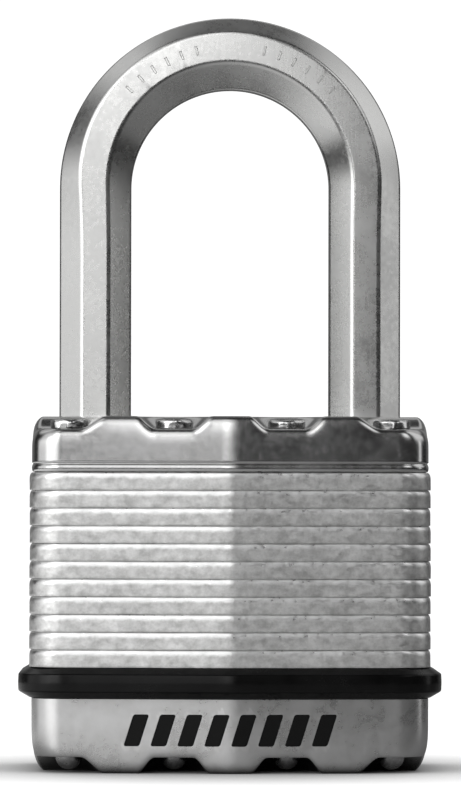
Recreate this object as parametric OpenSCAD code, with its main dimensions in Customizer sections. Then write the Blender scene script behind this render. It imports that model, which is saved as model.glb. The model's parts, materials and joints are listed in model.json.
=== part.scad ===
// Laminated padlock with a long octagonal shackle, two locking balls and a pin cylinder.
// The origin is the middle of the resting face. +Z is up, the front faces -Y.
// Drawn closed with the balls let go, which is the state with the key turned to open.

/* [Laminated body] */
// Width of the body plates
plate_width = 44.45; // [44.45:0.05:46]
// Depth of the body plates at the middle crease
body_depth = 27; // [27:0.5:30]
// Angle that each front facet falls back from the middle crease
facet_angle = 5; // [3:0.5:5]
// Radius of the four upright corners
corner_radius = 2.4; // [2:0.1:3]
// Thickness of one plate
plate_thickness = 1.95; // [1.95:0.01:2]
// Depth of the rolled edge of a plate
edge_roll = 0.3; // [0.2:0.05:0.4]

/* [Covers] */
// Thickness of the pressed cover sheet
sheet = 0.9; // [0.7:0.05:1]
// How far the covers sit in from the edge of the plates
cover_step = 0.3; // [0.2:0.05:0.4]
// Depth of the rivet pockets in the top cover
top_pocket = 1.4; // [1.2:0.1:1.6]
// Depth of the rivet pockets in the bottom cover
bottom_pocket = 1.9; // [1.7:0.1:2]
// Half width of the pockets near the middle
middle_pocket_r = 3.85; // [3.6:0.05:3.9]
// Half width of the pockets at the corners
corner_pocket_r = 3.1; // [2.8:0.05:3.2]

/* [Bumper] */
// How far the rubber bumper stands out from the plates
bumper_out = 1.2; // [0.8:0.1:1.5]
// Height of the bumper
bumper_height = 3.4; // [3:0.1:3.6]
// Height of the bumper's slanted edges
bumper_chamfer = 0.8; // [0.6:0.1:1]

/* [Shackle] */
// Size of the shackle bar across its flats
bar_size = 8; // [7.8:0.05:8]
// Width of each of the four main flats
bar_flat = 3.04; // [2.9:0.02:3.3]
// Distance between the middles of the two legs
leg_spacing = 30.1; // [30.1:0.1:30.4]
// Height of the crown's centre above the body
crown_rise = 25.6; // [18:0.2:50]
// How far the shackle rises when it opens
lift = 13.5; // [13.3:0.05:13.5]

/* [Lock cylinder] */
// Radius of the turning plug
plug_r = 5.5; // [5.4:0.05:5.5]
// Radius of the cylinder shell
shell_r = 6.6; // [6.5:0.05:6.6]
// Number of pin stacks
pin_stacks = 4; // [3:1:4]
// Distance between pin stacks
pin_pitch = 3.7; // [3.4:0.1:3.8]
// Width of the keyway
keyway_width = 1.6; // [1.4:0.1:1.8]

/* [Locking balls] */
// Radius of a locking ball
ball_r = 2.9; // [2.88:0.01:2.9]
// How far a ball reaches into its leg when locked
ball_bite = 1.6; // [1.5:0.05:1.6]

/* [Rivets] */
// Radius of a rivet's shank
rivet_r = 1.5; // [1.3:0.05:1.5]
// Distance of the outer rivets from the middle
rivet_outer_x = 17.8; // [17.6:0.1:18]
// Distance of the inner rivets from the middle
rivet_inner_x = 6.2; // [6.1:0.1:6.4]
// Distance of both rivet rows from the middle
rivet_y = 8.8; // [8.7:0.1:8.8]

/* [Hidden] */
$fn = 64;
fit = 0.05;
eps = 0.01;
far = 40;

lower_plates = 4;
visible_plates = 11;
upper_plates = 2;
plate_count = lower_plates + visible_plates + upper_plates;
guard_thickness = 1;

guard_z = bottom_pocket + sheet;
stack_z = guard_z + guard_thickness;
function plate_z(k) = stack_z + (k - 1) * plate_thickness;
bumper_top = plate_z(lower_plates + 1);
bottom_rim = bumper_top - bumper_height;
top_rim = plate_z(lower_plates + visible_plates + 1);
stack_top = plate_z(plate_count + 1);
body_top = stack_top + sheet + top_pocket;

inner_step = cover_step + sheet + fit;
heel_x = -leg_spacing / 2;
toe_x = leg_spacing / 2;
leg_hole_r = 4.5;
crown_z = body_top + crown_rise;

// Which plates the cylinder, the cam and the balls reach through
cylinder_plates = 9;
ball_plate = 14;
toe_plate = 12;
cylinder_top = plate_z(cylinder_plates + 1);
ball_z = plate_z(ball_plate) + 1.5 * plate_thickness;
cam_hole_r = 7.05;
channel_y = ball_r + fit;

// The balls' two places along X: let go, and pushed out into the shackle
inner_flat_x = toe_x - bar_size / 2;
ball_locked_x = inner_flat_x + ball_bite - ball_r;
toe_ball_x = inner_flat_x - 0.15 - ball_r;
heel_ball_x = inner_flat_x + 0.45 - ball_r;

cam_gap = 0.12;
cam_toe_r = toe_ball_x - ball_r - cam_gap;
cam_heel_r = heel_ball_x - ball_r - cam_gap;
cam_lobe_r = ball_locked_x - ball_r - cam_gap;
cam_step = 3;
cam_z = plate_z(ball_plate) + 0.15;
cam_top = plate_z(ball_plate + 3) - 0.15;
drum_r = 4.2;
drum_z = cylinder_top + 1.4;
tang_top = drum_z + 2.2;

toe_tip = plate_z(toe_plate) + 0.75;
heel_foot = 10.5;
foot_top = ball_z - lift - 2.75;
groove_top = ball_z - lift + ball_r - 0.05;
neck_r = toe_x - inner_flat_x - ball_bite - 0.15;
slot_top = ball_z + ball_r + 0.25;

plug_face = 1;
plug_nose_r = 4.9;
plug_top = cylinder_top + 1.15;
clip_z = cylinder_top + 0.15;
clip_height = 0.6;
shell_z = stack_z + fit;
bible_half = 3;
bible_y = 10.6;
pin_r = 1.22;
first_pin_z = 6.6;
key_pin_lengths = [2.6, 3.2, 2.3, 2.9];
driver_length = 2.3;
driver_y = plug_r + 0.12;
cap_y = 10.05;

rivet_head_r = 2.1;
rivet_head_z = body_top - 0.35;
rivet_foot_z = 0.3;

rivet_names = [
    for (row = ["front", "back"], i = [1:4]) str("rivet_", row, "_", i)
];
rivet_x = [-rivet_outer_x, -rivet_inner_x, rivet_inner_x, rivet_outer_x];
function plate_name(k) = str("plate_", k < 10 ? "0" : "", k);

steel = [0.74, 0.74, 0.73];
cover_steel = [0.62, 0.62, 0.61];
bar_steel = [0.78, 0.78, 0.76];
rubber = [0.06, 0.06, 0.07];
brass = [0.78, 0.64, 0.34];
spring_steel = [0.45, 0.46, 0.48];
zinc = [0.6, 0.61, 0.62];

// Outline of the body seen from above, set in from the plates' edge by inset
module plan(inset = 0) {
    half_w = plate_width / 2 - inset;
    half_d = body_depth / 2 - inset / cos(facet_angle);
    r = max(corner_radius - inset, 1);
    x = half_w - r;
    y = half_d - x * tan(facet_angle) - r / cos(facet_angle);
    tx = x + r * sin(facet_angle);
    ty = y + r * cos(facet_angle);
    polygon([
        [0, -half_d], [tx, -ty], [half_w, -y], [half_w, y], [tx, ty],
        [0, half_d], [-tx, ty], [-half_w, y], [-half_w, -y], [-tx, -ty]
    ]);
    for (sx = [-1, 1], sy = [-1, 1])
        translate([sx * x, sy * y]) circle(r);
}

// The eight rivet pockets seen from above, each open to the outside
module pockets(grow = 0) {
    middle_r = middle_pocket_r + grow;
    corner_r = corner_pocket_r + grow;
    for (sx = [0, 1], sy = [0, 1])
        mirror([sx, 0]) mirror([0, sy]) {
            translate([rivet_inner_x, rivet_y]) {
                circle(middle_r);
                translate([-middle_r, 0]) square([2 * middle_r, far]);
            }
            translate([rivet_outer_x, rivet_y]) {
                circle(corner_r);
                translate([-corner_r, 0]) square(far);
                translate([0, -corner_r]) square(far);
            }
        }
}

// A straight block from z0 to z1 of the outline given as a child
module slab(z0, z1) {
    translate([0, 0, z0]) linear_extrude(z1 - z0) children();
}

module at_rivets() {
    for (x = rivet_x, sy = [-1, 1])
        translate([x, sy * rivet_y]) children();
}

module at_legs() {
    for (x = [heel_x, toe_x])
        translate([x, 0]) children();
}

// A coil spring about Z whose ends stand on 0 and height
module coil(mean_r, wire_r, height, turns, steps, sides) {
    rings = turns * steps;
    rise = height - 2 * wire_r;
    points = [
        for (i = [0:rings], j = [0:sides - 1])
            let (
                turn = 360 * i / steps,
                around = 360 * j / sides,
                r = mean_r + wire_r * cos(around)
            )
            [r * cos(turn), r * sin(turn), wire_r + rise * i / rings + wire_r * sin(around)]
    ];
    skin = [
        for (i = [0:rings - 1], j = [0:sides - 1])
            let (a = i * sides + j, b = i * sides + (j + 1) % sides)
            [a, a + sides, b + sides, b]
    ];
    start = [for (j = [0:sides - 1]) j];
    end = [for (j = [sides - 1:-1:0]) rings * sides + j];
    polyhedron(points, concat([start], skin, [end]), convexity = 10);
}

// One end cover, with the rivet pockets down from z = 0 and the open rim at z = height
module cover(height, pocket) {
    floor_z = pocket + sheet;
    difference() {
        slab(0, height) plan(cover_step);
        slab(-eps, pocket) pockets();
        slab(floor_z, height + eps) plan(cover_step + sheet);
        slab(sheet, floor_z + eps)
            difference() {
                plan(cover_step + sheet);
                pockets(sheet);
            }
        slab(-eps, height) at_rivets() circle(rivet_r + fit);
    }
}

module top_cover() {
    color(cover_steel)
        difference() {
            translate([0, 0, body_top]) mirror([0, 0, 1]) cover(body_top - top_rim, top_pocket);
            slab(top_rim, body_top + eps) at_legs() circle(leg_hole_r);
        }
}

module bottom_cover() {
    color(cover_steel)
        difference() {
            cover(bottom_rim, bottom_pocket);
            slab(-eps, bottom_rim) circle(plug_nose_r + 0.6);
        }
}

module bumper() {
    thin = 0.02;
    lip = -0.15;
    color(rubber)
        difference() {
            hull() {
                slab(bottom_rim, bottom_rim + thin) plan(lip);
                slab(bottom_rim + bumper_chamfer, bumper_top - bumper_chamfer) plan(-bumper_out);
                slab(bumper_top - thin, bumper_top) plan(lip);
            }
            slab(bottom_rim - 1, bumper_top + 1) plan(inner_step - 0.03);
        }
}

module guard_plate() {
    color(steel)
        slab(guard_z, stack_z)
            difference() {
                plan(inner_step);
                circle(plug_nose_r + 0.2);
                at_rivets() circle(rivet_r + fit);
            }
}

// Everything that is cut through plate k, seen from above
module plate_holes(k) {
    at_rivets() circle(rivet_r + fit);
    if (k < toe_plate)
        translate([heel_x, 0]) circle(leg_hole_r);
    else
        at_legs() circle(leg_hole_r);
    if (k <= cylinder_plates) {
        circle(shell_r + 0.08);
        translate([-bible_half - 0.08, 0]) square([2 * bible_half + 0.16, bible_y + 0.1]);
    }
    if (k > cylinder_plates && k < plate_count)
        circle(cam_hole_r);
    if (k >= ball_plate && k < ball_plate + 3)
        square([2 * (inner_flat_x + ball_bite), 2 * channel_y], center = true);
}

module plate(k) {
    shown = k > lower_plates && k <= lower_plates + visible_plates;
    inset = shown ? 0 : inner_step;
    z = plate_z(k);
    roll_z = z + plate_thickness - edge_roll;
    color(steel)
        difference() {
            union() {
                slab(z, roll_z) plan(inset);
                slab(roll_z, z + plate_thickness) plan(inset + edge_roll);
            }
            slab(z - eps, z + plate_thickness + eps) plate_holes(k);
        }
}

// A rivet: domed foot in the bottom cover, peened head with a dimple in the top cover
module rivet(i) {
    row = i < 4 ? -1 : 1;
    seat_z = stack_top + sheet;
    rim = 0.4;
    dome_r = 1.7;
    color(steel)
        translate([rivet_x[i % 4], row * rivet_y, 0])
            difference() {
                union() {
                    translate([0, 0, rivet_foot_z])
                        rotate_extrude()
                            intersection() {
                                square([rivet_r, dome_r]);
                                translate([0, dome_r]) circle(dome_r);
                            }
                    slab(rivet_foot_z + dome_r, seat_z + eps) circle(rivet_r);
                    slab(seat_z, rivet_head_z - rim) circle(rivet_head_r);
                    translate([0, 0, rivet_head_z - rim])
                        cylinder(h = rim, r1 = rivet_head_r, r2 = rivet_head_r - rim);
                }
                translate([0, 0, rivet_head_z + 0.9]) sphere(1.3);
            }
}

module bar_section() {
    a = bar_size / 2;
    b = bar_flat / 2;
    polygon([[a, -b], [a, b], [b, a], [-b, a], [-a, b], [-a, -b], [-b, -a], [b, -a]]);
}

// A leg from z0 up to the crown, with its tip turned to a short cone
module leg(x, z0) {
    bevel = 0.7;
    tip_r = bar_size / 2 - 0.4;
    translate([x, 0])
        intersection() {
            slab(z0, crown_z) bar_section();
            union() {
                translate([0, 0, z0]) cylinder(h = bevel, r1 = tip_r, r2 = tip_r + bevel);
                slab(z0 + bevel, crown_z) circle(bar_size);
            }
        }
}

// What the ball clears in the heel leg: a side slot, and a ring groove above the foot
module heel_cuts() {
    floor_x = heel_x + neck_r;
    translate([floor_x, -bar_size, foot_top])
        cube([bar_size, 2 * bar_size, slot_top - foot_top]);
    slab(foot_top, groove_top)
        translate([heel_x, 0])
            difference() {
                circle(bar_size);
                circle(neck_r);
            }
}

module shackle() {
    color(bar_steel)
        difference() {
            union() {
                leg(heel_x, heel_foot);
                leg(toe_x, toe_tip);
                translate([0, 0, crown_z])
                    rotate([90, 0, 0])
                        rotate_extrude(angle = 180, $fn = 96)
                            translate([toe_x, 0]) bar_section();
            }
            heel_cuts();
            translate([ball_locked_x, 0, ball_z])
                rotate([90, 0, 0]) cylinder(h = far, r = ball_r + 0.2, center = true);
        }
}

module shackle_spring() {
    color(spring_steel)
        translate([heel_x, 0, stack_z])
            coil(3, 0.4, heel_foot - stack_z, 5.5, 20, 6);
}

module heel_ball() {
    color(spring_steel)
        translate([-heel_ball_x, 0, ball_z]) sphere(ball_r);
}

module toe_ball() {
    color(spring_steel)
        translate([toe_ball_x, 0, ball_z]) sphere(ball_r);
}

// Cam radius at an angle: two even rises to the lobes, which push the balls at a steady rate
function cam_radius(angle) =
    let (
        low = angle <= 90 || angle > 270 ? cam_toe_r : cam_heel_r,
        turn = abs((angle + 90) % 180 - 90) / 90
    )
    low + (cam_lobe_r - low) * turn;

module cam() {
    slot = [6.3, keyway_width + 0.2];
    color(zinc)
        difference() {
            union() {
                slab(drum_z, cam_z) circle(drum_r);
                slab(cam_z, cam_top)
                    polygon([
                        for (angle = [0:cam_step:360 - cam_step])
                            cam_radius(angle) * [cos(angle), sin(angle)]
                    ]);
            }
            slab(drum_z - eps, tang_top + 0.2) square(slot, center = true);
        }
}

module cam_spring() {
    height = cam_z - drum_z - 0.8;
    color(spring_steel)
        translate([0, 0, drum_z + 0.4]) coil(5.4, 0.4, height, 5, 20, 6);
}

// The plug is drawn turned to open, so its pins point to -X and its keyway runs along X
module key_plug() {
    color(brass)
        difference() {
            union() {
                slab(plug_face, shell_z) circle(plug_nose_r);
                slab(shell_z, plug_top) circle(plug_r);
                slab(plug_top - eps, tang_top) square([6, keyway_width], center = true);
            }
            keyway();
            for (i = [0:pin_stacks - 1])
                translate([0, 0, first_pin_z + i * pin_pitch])
                    rotate([0, -90, 0]) cylinder(h = plug_r + 1, r = pin_r + fit);
            slab(clip_z - 0.05, clip_z + clip_height + 0.05)
                difference() {
                    circle(plug_r + 1);
                    circle(plug_r - 0.75);
                }
        }
}

// Keyway with two side wards, from the plug's face to behind the last pin
module keyway() {
    depth = first_pin_z + (pin_stacks - 1) * pin_pitch + 2;
    half = keyway_width / 2;
    ward = 0.35;
    slab(plug_face - eps, depth)
        difference() {
            translate([-1.5, -half]) square([5.8, keyway_width]);
            translate([0.2, half - ward]) square([1.1, ward + eps]);
            translate([2.2, -half - eps]) square([0.9, ward + eps]);
        }
}

module plug_clip() {
    color(spring_steel)
        translate([0, 0, clip_z])
            rotate([0, 0, 30])
                rotate_extrude(angle = 300)
                    translate([plug_r - 0.7, 0]) square([1.5, clip_height]);
}

module cylinder_shell() {
    last_pin_z = first_pin_z + (pin_stacks - 1) * pin_pitch;
    color(brass)
        difference() {
            slab(shell_z, cylinder_top - fit) {
                circle(shell_r);
                translate([-bible_half, 0]) square([2 * bible_half, bible_y]);
            }
            slab(shell_z - eps, cylinder_top) circle(plug_r + 0.06);
            for (i = [0:pin_stacks - 1])
                translate([0, 0, first_pin_z + i * pin_pitch])
                    rotate([-90, 0, 0]) cylinder(h = bible_y + 1, r = pin_r + fit);
            translate([-1.95, cap_y - 0.03, first_pin_z - 2.05])
                cube([3.9, 1, last_pin_z - first_pin_z + 4.1]);
        }
}

module spring_cap() {
    last_pin_z = first_pin_z + (pin_stacks - 1) * pin_pitch;
    color(brass)
        translate([-1.9, cap_y, first_pin_z - 2])
            cube([3.8, bible_y - cap_y - 0.05, last_pin_z - first_pin_z + 4]);
}

module key_pin(i) {
    length = key_pin_lengths[i];
    tip = 0.6;
    color(brass)
        translate([-plug_r + 0.08, 0, first_pin_z + i * pin_pitch])
            rotate([0, 90, 0]) {
                cylinder(h = length - tip, r = pin_r);
                translate([0, 0, length - tip]) cylinder(h = tip, r1 = pin_r, r2 = pin_r - tip);
            }
}

module driver_pin(i) {
    color(spring_steel)
        translate([0, driver_y, first_pin_z + i * pin_pitch])
            rotate([-90, 0, 0]) cylinder(h = driver_length, r = pin_r);
}

module pin_spring(i) {
    start_y = driver_y + driver_length;
    color(spring_steel)
        translate([0, start_y, first_pin_z + i * pin_pitch])
            rotate([-90, 0, 0]) coil(0.85, 0.16, cap_y - start_y - 0.02, 4, 10, 5);
}

top_cover();
bottom_cover();
bumper();
guard_plate();
for (k = [1:plate_count])
    plate(k);
for (i = [0:7])
    rivet(i);
shackle();
shackle_spring();
heel_ball();
toe_ball();
cam();
cam_spring();
key_plug();
plug_clip();
cylinder_shell();
spring_cap();
for (i = [0:pin_stacks - 1]) {
    key_pin(i);
    driver_pin(i);
    pin_spring(i);
}
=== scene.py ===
"""Looks of the laminated padlock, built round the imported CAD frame. Lengths are in millimetres
until a mesh is made, and +Z is up with the front towards -Y."""
import json
import math

import bmesh
import bpy
import numpy as np
from mathutils import Euler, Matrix, Vector, geometry, noise


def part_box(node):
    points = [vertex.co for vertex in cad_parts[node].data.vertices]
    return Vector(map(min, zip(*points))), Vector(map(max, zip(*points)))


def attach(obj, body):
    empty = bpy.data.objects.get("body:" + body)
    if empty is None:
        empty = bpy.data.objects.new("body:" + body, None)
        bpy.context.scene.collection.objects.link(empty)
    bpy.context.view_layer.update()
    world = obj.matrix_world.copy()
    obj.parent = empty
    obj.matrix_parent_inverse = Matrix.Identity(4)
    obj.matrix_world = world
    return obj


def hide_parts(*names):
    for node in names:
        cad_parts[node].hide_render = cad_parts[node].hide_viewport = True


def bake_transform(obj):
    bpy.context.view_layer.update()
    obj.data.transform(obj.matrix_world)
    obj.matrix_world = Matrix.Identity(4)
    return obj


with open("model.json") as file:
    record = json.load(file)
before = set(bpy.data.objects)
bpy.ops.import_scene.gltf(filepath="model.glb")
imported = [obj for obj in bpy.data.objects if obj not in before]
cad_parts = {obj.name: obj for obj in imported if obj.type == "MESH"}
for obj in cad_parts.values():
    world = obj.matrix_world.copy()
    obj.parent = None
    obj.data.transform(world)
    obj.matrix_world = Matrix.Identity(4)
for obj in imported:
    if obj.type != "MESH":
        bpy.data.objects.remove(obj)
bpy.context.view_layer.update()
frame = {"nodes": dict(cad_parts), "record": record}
MM = 0.001


# ---------------------------------------------------------------- frame dimensions

def box_mm(node):
    """Lowest and highest corner of a CAD node, in millimetres."""
    low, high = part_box(node)
    return np.array(low) / MM, np.array(high) / MM


SHOWN_PLATES = [f"plate_{k:02d}" for k in range(5, 16)]
HIDDEN_PLATES = [f"plate_{k:02d}" for k in (1, 2, 3, 4, 16, 17)]
RIVETS = [f"rivet_{row}_{i}" for row in ("front", "back") for i in (1, 2, 3, 4)]

plate_low, plate_high = box_mm(SHOWN_PLATES[0])
HALF_W, HALF_D = plate_high[0], plate_high[1]
PLATE_T = plate_high[2] - plate_low[2]
FACET = math.radians(5)
CORNER_R = 3.8
PLATE_CREASE_R = 6.0
COVER_CREASE_R = 13.0

cover_low, cover_high = box_mm("top_cover")
COVER_STEP = HALF_W - cover_high[0]
BODY_TOP = cover_high[2]
TOP_RIM = cover_low[2]
BOTTOM_RIM = box_mm("bottom_cover")[1][2]
SHEET = 0.9
TOP_POCKET = 1.4
BOTTOM_POCKET = 1.9

rivet_middles = [(np.add(*box_mm(name)) / 2)[:2] for name in RIVETS]
RIVET_OUTER_X = max(m[0] for m in rivet_middles)
RIVET_INNER_X = min(m[0] for m in rivet_middles if m[0] > 0)
RIVET_Y = max(m[1] for m in rivet_middles)

shackle_low, shackle_high = box_mm("shackle")
BAR = shackle_high[1] - shackle_low[1]
LEG_X = shackle_high[0] - BAR / 2
CROWN_Z = shackle_high[2] - shackle_high[0]
BAR_FLAT = 3.04
FLAT_TILT = math.radians(2)


# ---------------------------------------------------------------- mesh helpers

def make_object(name, verts, faces, smooth_angle=32.0, weighted=True):
    """A mesh object from points in millimetres, with outward faces and split sharp edges."""
    mesh = bpy.data.meshes.new(name)
    mesh.from_pydata([tuple(v * MM for v in p) for p in verts], [], faces)
    obj = bpy.data.objects.new(name, mesh)
    bpy.context.scene.collection.objects.link(obj)
    clean(obj)
    shade(obj, smooth_angle, weighted)
    return obj


def clean(obj, distance=1e-7):
    """Merges doubled points and turns every face outwards."""
    bm = bmesh.new()
    bm.from_mesh(obj.data)
    bmesh.ops.remove_doubles(bm, verts=bm.verts, dist=distance)
    bmesh.ops.dissolve_degenerate(bm, dist=distance, edges=bm.edges)
    bmesh.ops.recalc_face_normals(bm, faces=bm.faces)
    bm.to_mesh(obj.data)
    bm.free()
    obj.data.update()


def shade(obj, smooth_angle=32.0, weighted=True):
    """Smooth faces with sharp edges above the angle, and normals weighted by face area."""
    mesh = obj.data
    mesh.polygons.foreach_set("use_smooth", [True] * len(mesh.polygons))
    mesh.set_sharp_from_angle(angle=math.radians(smooth_angle))
    if weighted and "weighted" not in obj.modifiers:
        modifier = obj.modifiers.new("weighted", "WEIGHTED_NORMAL")
        modifier.keep_sharp = True
        modifier.weight = 60


def flatten_walls(obj, in_region):
    """Flat shading on a cut's walls and slivers, so that they don't tilt the normals beside them."""
    for face in obj.data.polygons:
        is_wall = face.normal.y > -0.93
        is_sliver = face.area < 0.05 * MM * MM
        if (is_wall or is_sliver) and in_region(*(face.center / MM)):
            face.use_smooth = False


def apply_modifiers(obj):
    """Replaces the mesh by its evaluated one, and drops the modifiers."""
    graph = bpy.context.evaluated_depsgraph_get()
    made = bpy.data.meshes.new_from_object(obj.evaluated_get(graph))
    obj.modifiers.clear()
    obj.data = made


def boolean(obj, tool, operation="DIFFERENCE"):
    """Cuts the mesh with another closed mesh, which is then deleted."""
    obj.modifiers.clear()
    modifier = obj.modifiers.new("cut", "BOOLEAN")
    modifier.object = tool
    modifier.operation = operation
    modifier.solver = "EXACT"
    apply_modifiers(obj)
    bpy.data.objects.remove(tool)
    clean(obj)
    bm = bmesh.new()
    bm.from_mesh(obj.data)
    bmesh.ops.triangulate(bm, faces=[f for f in bm.faces if len(f.verts) > 4])
    bm.to_mesh(obj.data)
    bm.free()


def merged_copy(node):
    """A loose copy of a CAD node with its split points merged, for cutting with."""
    source = frame["nodes"][node]
    mesh = source.data.copy()
    mesh.materials.clear()
    copy = bpy.data.objects.new(node + "_copy", mesh)
    bpy.context.scene.collection.objects.link(copy)
    clean(copy)
    return copy


def plane_loops(node, z, tolerance=0.004):
    """The closed outlines of a CAD node's flat faces at height z, as lists of (x, y)."""
    copy = merged_copy(node)
    co = np.array([v.co for v in copy.data.vertices]) / MM
    level = np.abs(co[:, 2] - z) < tolerance
    seen = {}
    for face in copy.data.polygons:
        if all(level[i] for i in face.vertices):
            ring = list(face.vertices)
            for a, b in zip(ring, ring[1:] + ring[:1]):
                seen[(a, b)] = True
    after = {a: b for a, b in seen if (b, a) not in seen}
    loops = []
    while after:
        start = next(iter(after))
        loop = [start]
        while loop[-1] in after:
            step = after.pop(loop[-1])
            if step == start:
                break
            loop.append(step)
        loops.append([tuple(co[i, :2]) for i in loop])
    bpy.data.objects.remove(copy)
    return [loop for loop in loops if len(loop) > 2]


def inner_loops(loops):
    """The loops without the one that goes round all the others."""
    spans = [np.ptp(np.array(loop), axis=0).sum() for loop in loops]
    largest = int(np.argmax(spans))
    return [loop for i, loop in enumerate(loops) if i != largest]


# ---------------------------------------------------------------- body outline

def quarter(inset, crease_r, corner_r, counts):
    """The outline from the middle of the front to the middle of the right side."""
    crease_n, facet_n, corner_n, side_n = counts
    half_w = HALF_W - inset
    half_d = HALF_D - inset / math.cos(FACET)
    corner = max(corner_r - inset, 0.5)
    crease = max(crease_r - inset, 1.0)
    cx = half_w - corner
    cy = -half_d + cx * math.tan(FACET) + corner / math.cos(FACET)
    crease_y = -half_d + crease / math.cos(FACET)
    points = []
    for t in np.linspace(0, FACET, crease_n):
        points.append((crease * math.sin(t), crease_y - crease * math.cos(t)))
    start = np.array(points[-1])
    end = np.array((cx + corner * math.sin(FACET), cy - corner * math.cos(FACET)))
    for t in np.linspace(0, 1, facet_n + 1)[1:]:
        points.append(tuple(start + (end - start) * t))
    for t in np.linspace(FACET, math.pi / 2, corner_n + 1)[1:]:
        points.append((cx + corner * math.sin(t), cy - corner * math.cos(t)))
    for t in np.linspace(0, 1, side_n + 1)[1:]:
        points.append((half_w, cy * (1 - t)))
    return points


def outline(inset=0.0, crease_r=PLATE_CREASE_R, corner_r=CORNER_R, counts=(5, 24, 10, 8)):
    """The whole outline seen from above, anticlockwise, set in from the plates' edge."""
    front = quarter(inset, crease_r, corner_r, counts)
    right = front + [(x, -y) for x, y in reversed(front[:-1])]
    return np.array(right + [(-x, y) for x, y in reversed(right[1:-1])])


def outward(loop):
    """The outward unit normal at each point of an anticlockwise loop."""
    along = np.roll(loop, -1, 0) - np.roll(loop, 1, 0)
    normal = np.stack([along[:, 1], -along[:, 0]], 1)
    return normal / np.linalg.norm(normal, axis=1, keepdims=True)


def ring_faces(a, b, n):
    """Faces between two rings of n points that start at a and b."""
    return [(a + i, a + (i + 1) % n, b + (i + 1) % n, b + i) for i in range(n)]


def arc(centre, radii, start, end, steps):
    """Points on an elliptic arc in a profile's (inset, z) plane, angles in degrees."""
    return [
        (centre[0] + radii[0] * math.cos(math.radians(t)), centre[1] + radii[1] * math.sin(math.radians(t)))
        for t in np.linspace(start, end, steps)
    ]


def cap(outer, holes, z):
    """Flat triangles inside the outer loop and outside the holes, with their points."""
    loops = [[Vector((x, y, 0)) for x, y in outer]]
    loops += [[Vector((x, y, 0)) for x, y in hole] for hole in holes]
    points = [(p.x, p.y, z) for loop in loops for p in loop]
    return points, [tuple(t) for t in geometry.tessellate_polygon(loops)]


# ---------------------------------------------------------------- plates

def wander(points, size, amount, seed):
    """Shifts each point a little by smooth noise, the same for the same seed."""
    moved = []
    offset = Vector((seed * 7.3, seed * 3.1, seed * 5.7))
    for p in points:
        shift = noise.noise_vector(Vector(p) / size + offset)
        moved.append((p[0] + shift.x * amount, p[1] + shift.y * amount, p[2] + shift.z * amount * 0.4))
    return moved


def build_plate(name, index):
    """A stamped plate: rolled upper edge, crisp lower edge, and the CAD plate's own holes."""
    low, high = box_mm(name)
    z0, z1 = low[2], high[2]
    holes = inner_loops(plane_loops(name, z0))
    burr, roll_in, roll_down = 0.035, 0.15, 0.74
    profile = arc((burr + 0.02, z0 + burr), (burr, burr), 270, 180, 4)
    profile += [(0.02, z0 + (z1 - z0) * t) for t in (0.15, 0.3, 0.45, 0.58)]
    profile += arc((roll_in + 0.02, z1 - roll_down), (roll_in, roll_down), 180, 90, 12)
    base = outline()
    normals = outward(base)
    ends = 1 + 1.3 * soft_step(np.abs(normals[:, 0]) * 1.2)
    rings = []
    for inset, z in profile:
        loop = base - normals * (inset * ends)[:, None]
        rings.append([(x, y, z) for x, y in loop])
    n = len(rings[0])
    verts = []
    for ring in rings:
        verts += wander(ring, 5.0, 0.05, index)
    faces = []
    for i in range(len(rings) - 1):
        faces += ring_faces(i * n, (i + 1) * n, n)
    for ring_index, z, flip in ((0, z0, True), (len(rings) - 1, z1, False)):
        rim = verts[ring_index * n:(ring_index + 1) * n]
        points, triangles = cap([p[:2] for p in rim], holes, z)
        base = len(verts)
        verts += [p if i >= n else rim[i] for i, p in enumerate(points)]
        faces += [tuple(base + i for i in (reversed(t) if flip else t)) for t in triangles]
        if flip:
            low_base = base
        else:
            high_base = base
    start = n
    for hole in holes:
        faces += ring_faces(low_base + start, high_base + start, len(hole))
        start += len(hole)
    return make_object(name + "_looks", verts, faces)


# ---------------------------------------------------------------- covers

def pocket_distance(x, y):
    """Signed distance to the nearest rivet pocket's edge, below 0 inside it."""
    x, y = np.abs(x), np.abs(y)
    dx = x - RIVET_INNER_X
    dy = np.minimum(y - RIVET_Y, 0)
    middle = np.hypot(dx, dy) - 3.1
    px, py = x - RIVET_OUTER_X, y - RIVET_Y
    outside = np.hypot(np.minimum(px, 0), np.minimum(py, 0))
    corner = (outside - np.maximum(np.minimum(px, py), 0) - 2.65) * 0.72
    return np.minimum(middle, corner)


def soft_step(t):
    t = np.clip(t, 0, 1)
    return t * t * (3 - 2 * t)


def inside_loop(points, loop):
    """Which points lie inside a closed loop."""
    loop = np.asarray(loop)
    x, y = points[:, 0][:, None], points[:, 1][:, None]
    ax, ay = loop[:, 0], loop[:, 1]
    bx, by = np.roll(ax, -1), np.roll(ay, -1)
    crosses = (ay > y) != (by > y)
    at = ax + (y - ay) * (bx - ax) / np.where(by == ay, 1e-12, by - ay)
    return (crosses & (x < at)).sum(1) % 2 == 1


def loop_distance(points, loop):
    """Distance from each point to a closed loop's nearest side."""
    a = np.asarray(loop)
    b = np.roll(a, -1, 0)
    ab = b - a
    t = ((points[:, None] - a) * ab).sum(2) / np.maximum((ab * ab).sum(1), 1e-12)
    near = a + ab * np.clip(t, 0, 1)[..., None]
    return np.linalg.norm(points[:, None] - near, axis=2).min(1)


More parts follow.
